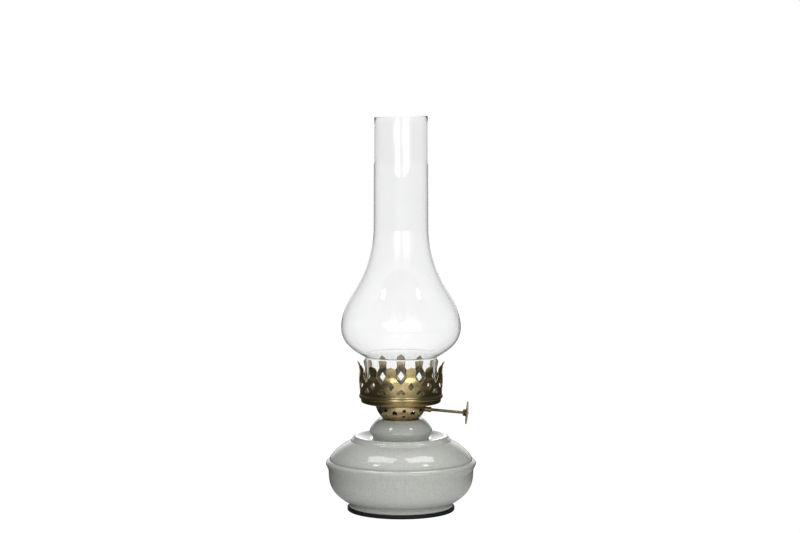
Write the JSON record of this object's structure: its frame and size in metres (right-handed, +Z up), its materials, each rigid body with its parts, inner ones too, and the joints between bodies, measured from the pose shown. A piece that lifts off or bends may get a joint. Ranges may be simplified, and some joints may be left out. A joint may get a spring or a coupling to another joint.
{
  "type": "oil lamp",
  "caption": "Table oil lamp with a tiered glazed font, pierced brass burner, petal gallery, side winding knob and bulbous clear glass chimney.",
  "frame": {"origin": "centre of the base pad's underside, on the lamp's axis", "axes": "+Z up along the lamp's axis, +X towards the winding knob"},
  "size_m": [0.1412, 0.1412, 0.3701],
  "materials": {
    "glaze": "glossy grey glaze with fine speckle",
    "base_pad": "matt black",
    "cement": "matt set plaster",
    "aged_brass": "antiqued satin brass, darker in the hollows",
    "inner_brass": "plain satin brass",
    "dark_brass": "dark antiqued brass",
    "knob_brass": "dull grey-green antiqued brass",
    "spring_brass": "rolled satin brass strip",
    "cotton": "woven cotton tape",
    "clear_glass": "clear blown glass"
  },
  "bodies": {
    "font": {"base_pad": "base_pad", "font": "glaze", "collar_cement": "cement", "collar": "inner_brass"},
    "burner": {"burner_skirt": "inner_brass", "burner_basket": "aged_brass", "basket_floor": "inner_brass", "vent_tube": "inner_brass", "wick_tube": "inner_brass", "wheel_housing": "inner_brass", "spindle_bush": "aged_brass"},
    "spindle": {"spindle_shaft": "dark_brass", "spindle_washer": "dark_brass", "wick_wheel_1": "inner_brass", "wick_wheel_2": "inner_brass", "wick_wheel_3": "inner_brass", "knob_hub": "dark_brass", "knob_disc": "knob_brass"},
    "wick": {"wick": "cotton"},
    "gallery": {"gallery_dish": "aged_brass", "gallery_crown": "aged_brass", "air_plate": "inner_brass", "flame_dome": "inner_brass", "chimney_springs": "spring_brass"},
    "chimney": {"chimney": "clear_glass"}
  },
  "joints": [
    {"name": "burner_lift", "type": "slide", "parent": "font", "child": "burner", "axis": [0, 0, 1], "range_m": [0, 0.075]},
    {"name": "spindle_turn", "type": "hinge", "parent": "burner", "child": "spindle", "pos_m": [0, 0.0057, 0.0964], "axis": [-0.9959, 0, 0.0906], "range_deg": [-150, 100]},
    {"name": "wick_slide", "type": "slide", "parent": "burner", "child": "wick", "axis": [0, 0, 1], "range_m": [-0.012, 0.008]},
    {"name": "gallery_lift", "type": "slide", "parent": "burner", "child": "gallery", "axis": [0, 0, 1], "range_m": [0, 0.04]},
    {"name": "chimney_lift", "type": "slide", "parent": "gallery", "child": "chimney", "axis": [0, 0, 1], "range_m": [0, 0.06]}
  ],
  "couplings": [
    {"joint": "wick_slide", "follows": "spindle_turn", "m_per_rad": 0.0045}
  ]
}
